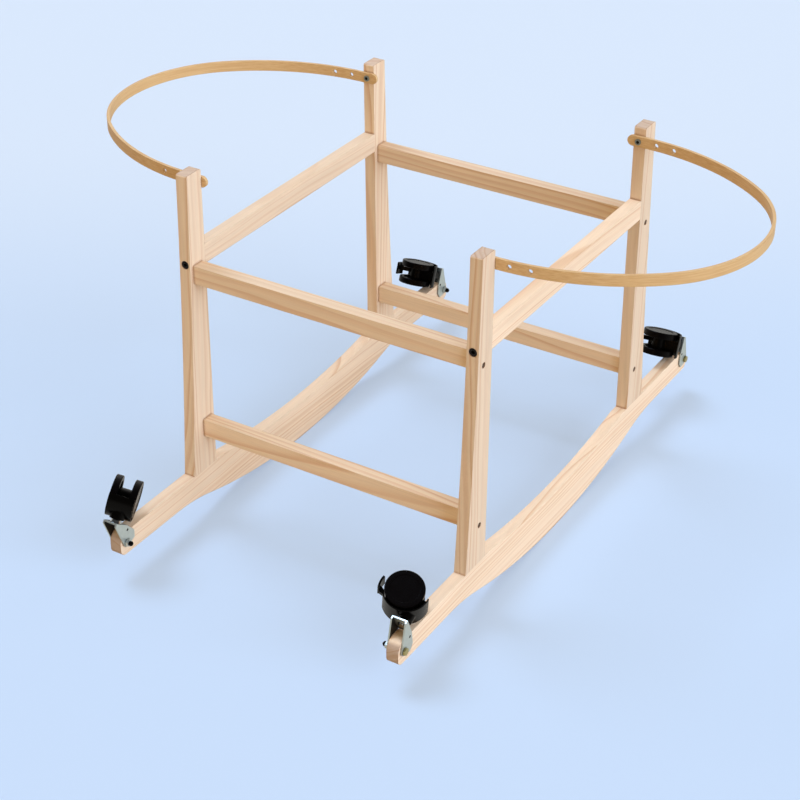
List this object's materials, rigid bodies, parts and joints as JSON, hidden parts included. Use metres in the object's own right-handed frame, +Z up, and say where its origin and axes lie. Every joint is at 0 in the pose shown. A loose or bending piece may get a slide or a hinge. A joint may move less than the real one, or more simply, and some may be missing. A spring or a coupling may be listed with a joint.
{
  "type": "bassinet rocking stand",
  "caption": "Wooden rocking stand for a moses basket: post and rail frame on curved rockers, bent hoops that swing up, and castors that fold down over the rocker ends",
  "frame": {"origin": "on the floor under the middle of the stand", "axes": "+X to the right across the side frames and along the reach of the hoops, +Y to the back along the rockers, +Z up"},
  "size_m": [0.8974, 0.8056, 0.486],
  "materials": {
    "pine_wood": "satin clear lacquer",
    "hoop_wood": "satin clear lacquer",
    "beech_wood": "bare",
    "dark_steel": "black oxide",
    "zinc_steel": "bright zinc plate",
    "yellow_zinc_steel": "yellow zinc plate",
    "chromed_steel": "polished",
    "black_nylon": "satin",
    "wheel_plastic": "satin"
  },
  "bodies": {
    "frame": {"post_front_left": "pine_wood", "post_front_right": "pine_wood", "post_back_left": "pine_wood", "post_back_right": "pine_wood", "rocker_left": "pine_wood", "rocker_right": "pine_wood", "side_rail_left": "pine_wood", "side_rail_right": "pine_wood", "upper_rail_front": "pine_wood", "upper_rail_back": "pine_wood", "lower_rail_front": "pine_wood", "lower_rail_back": "pine_wood", "rocker_dowels": "beech_wood", "side_rail_bolts": "dark_steel", "barrel_nuts": "zinc_steel", "cross_rail_screws": "dark_steel", "hoop_bolts": "zinc_steel", "hoop_inserts": "zinc_steel", "pivot_bolts": "yellow_zinc_steel", "pivot_nuts": "zinc_steel", "nut_caps": "black_nylon"},
    "hoop_left": {"hoop_left": "hoop_wood"},
    "hoop_right": {"hoop_right": "hoop_wood"},
    "front_left_bracket": {"front_left_bracket": "zinc_steel", "front_left_stem": "chromed_steel"},
    "front_left_castor": {"front_left_hood": "black_nylon", "front_left_axle": "zinc_steel", "front_left_lever_pin": "zinc_steel"},
    "front_left_wheel_inner": {"front_left_wheel_inner": "wheel_plastic"},
    "front_left_wheel_outer": {"front_left_wheel_outer": "wheel_plastic"},
    "front_left_brake_lever": {"front_left_brake_lever": "black_nylon"},
    "front_right_bracket": {"front_right_bracket": "zinc_steel", "front_right_stem": "chromed_steel"},
    "front_right_castor": {"front_right_hood": "black_nylon", "front_right_axle": "zinc_steel", "front_right_lever_pin": "zinc_steel"},
    "front_right_wheel_inner": {"front_right_wheel_inner": "wheel_plastic"},
    "front_right_wheel_outer": {"front_right_wheel_outer": "wheel_plastic"},
    "front_right_brake_lever": {"front_right_brake_lever": "black_nylon"},
    "back_left_bracket": {"back_left_bracket": "zinc_steel", "back_left_stem": "chromed_steel"},
    "back_left_castor": {"back_left_hood": "black_nylon", "back_left_axle": "zinc_steel", "back_left_lever_pin": "zinc_steel"},
    "back_left_wheel_inner": {"back_left_wheel_inner": "wheel_plastic"},
    "back_left_wheel_outer": {"back_left_wheel_outer": "wheel_plastic"},
    "back_left_brake_lever": {"back_left_brake_lever": "black_nylon"},
    "back_right_bracket": {"back_right_bracket": "zinc_steel", "back_right_stem": "chromed_steel"},
    "back_right_castor": {"back_right_hood": "black_nylon", "back_right_axle": "zinc_steel", "back_right_lever_pin": "zinc_steel"},
    "back_right_wheel_inner": {"back_right_wheel_inner": "wheel_plastic"},
    "back_right_wheel_outer": {"back_right_wheel_outer": "wheel_plastic"},
    "back_right_brake_lever": {"back_right_brake_lever": "black_nylon"}
  },
  "joints": [
    {"name": "hoop_left_swing", "type": "hinge", "parent": "frame", "child": "hoop_left", "pos_m": [-0.202, 0, 0.468], "axis": [0, 1, 0], "range_deg": [-75, 105]},
    {"name": "hoop_right_swing", "type": "hinge", "parent": "frame", "child": "hoop_right", "pos_m": [0.202, 0, 0.468], "axis": [0, -1, 0], "range_deg": [-75, 105]},
    {"name": "front_left_fold", "type": "hinge", "parent": "frame", "child": "front_left_bracket", "pos_m": [-0.202, -0.3884, 0.0555], "axis": [1, 0, 0], "range_deg": [-3, 214.5]},
    {"name": "front_left_swivel", "type": "hinge", "parent": "front_left_bracket", "child": "front_left_castor", "pos_m": [-0.202, -0.39476, 0.08596], "axis": [0, -0.5664, -0.8241], "continuous": true},
    {"name": "front_left_inner_spin", "type": "hinge", "parent": "front_left_castor", "child": "front_left_wheel_inner", "pos_m": [-0.20904, -0.36544, 0.10525], "axis": [-0.8829, -0.3869, 0.2659], "continuous": true},
    {"name": "front_left_outer_spin", "type": "hinge", "parent": "front_left_castor", "child": "front_left_wheel_outer", "pos_m": [-0.20904, -0.36544, 0.10525], "axis": [-0.8829, -0.3869, 0.2659], "continuous": true},
    {"name": "front_left_brake", "type": "hinge", "parent": "front_left_castor", "child": "front_left_brake_lever", "pos_m": [-0.21588, -0.36177, 0.0879], "axis": [-0.8829, -0.3869, 0.2659], "range_deg": [-5, 12]},
    {"name": "front_right_fold", "type": "hinge", "parent": "frame", "child": "front_right_bracket", "pos_m": [0.202, -0.3884, 0.0555], "axis": [1, 0, 0], "range_deg": [0, 248]},
    {"name": "front_right_swivel", "type": "hinge", "parent": "front_right_bracket", "child": "front_right_castor", "pos_m": [0.202, -0.37689, 0.08442], "axis": [0, -0.9272, -0.3746], "range_deg": [-165, 15]},
    {"name": "front_right_inner_spin", "type": "hinge", "parent": "front_right_castor", "child": "front_right_wheel_inner", "pos_m": [0.18751, -0.34821, 0.10019], "axis": [-0.2588, 0.3618, -0.8956], "continuous": true},
    {"name": "front_right_outer_spin", "type": "hinge", "parent": "front_right_castor", "child": "front_right_wheel_outer", "pos_m": [0.18751, -0.34821, 0.10019], "axis": [-0.2588, 0.3618, -0.8956], "continuous": true},
    {"name": "front_right_brake", "type": "hinge", "parent": "front_right_castor", "child": "front_right_brake_lever", "pos_m": [0.17345, -0.36095, 0.09911], "axis": [0.2588, -0.3618, 0.8956], "range_deg": [-5, 12]},
    {"name": "back_left_fold", "type": "hinge", "parent": "frame", "child": "back_left_bracket", "pos_m": [-0.202, 0.3884, 0.0555], "axis": [-1, 0, 0], "range_deg": [0, 248]},
    {"name": "back_left_swivel", "type": "hinge", "parent": "back_left_bracket", "child": "back_left_castor", "pos_m": [-0.202, 0.37689, 0.08442], "axis": [0, 0.9272, -0.3746], "range_deg": [0, 180]},
    {"name": "back_left_inner_spin", "type": "hinge", "parent": "back_left_castor", "child": "back_left_wheel_inner", "pos_m": [-0.217, 0.34676, 0.09659], "axis": [0, 0.3746, 0.9272], "continuous": true},
    {"name": "back_left_outer_spin", "type": "hinge", "parent": "back_left_castor", "child": "back_left_wheel_outer", "pos_m": [-0.217, 0.34676, 0.09659], "axis": [0, 0.3746, 0.9272], "continuous": true},
    {"name": "back_left_brake", "type": "hinge", "parent": "back_left_castor", "child": "back_left_brake_lever", "pos_m": [-0.23156, 0.35808, 0.09201], "axis": [0, -0.3746, -0.9272], "range_deg": [-5, 12]},
    {"name": "back_right_fold", "type": "hinge", "parent": "frame", "child": "back_right_bracket", "pos_m": [0.202, 0.3884, 0.0555], "axis": [-1, 0, 0], "range_deg": [0, 248]},
    {"name": "back_right_swivel", "type": "hinge", "parent": "back_right_bracket", "child": "back_right_castor", "pos_m": [0.202, 0.37689, 0.08442], "axis": [0, 0.9272, -0.3746], "range_deg": [0, 180]},
    {"name": "back_right_inner_spin", "type": "hinge", "parent": "back_right_castor", "child": "back_right_wheel_inner", "pos_m": [0.187, 0.34676, 0.09659], "axis": [0, -0.3746, -0.9272], "continuous": true},
    {"name": "back_right_outer_spin", "type": "hinge", "parent": "back_right_castor", "child": "back_right_wheel_outer", "pos_m": [0.187, 0.34676, 0.09659], "axis": [0, -0.3746, -0.9272], "continuous": true},
    {"name": "back_right_brake", "type": "hinge", "parent": "back_right_castor", "child": "back_right_brake_lever", "pos_m": [0.17244, 0.35808, 0.09201], "axis": [0, -0.3746, -0.9272], "range_deg": [-5, 12]}
  ]
}
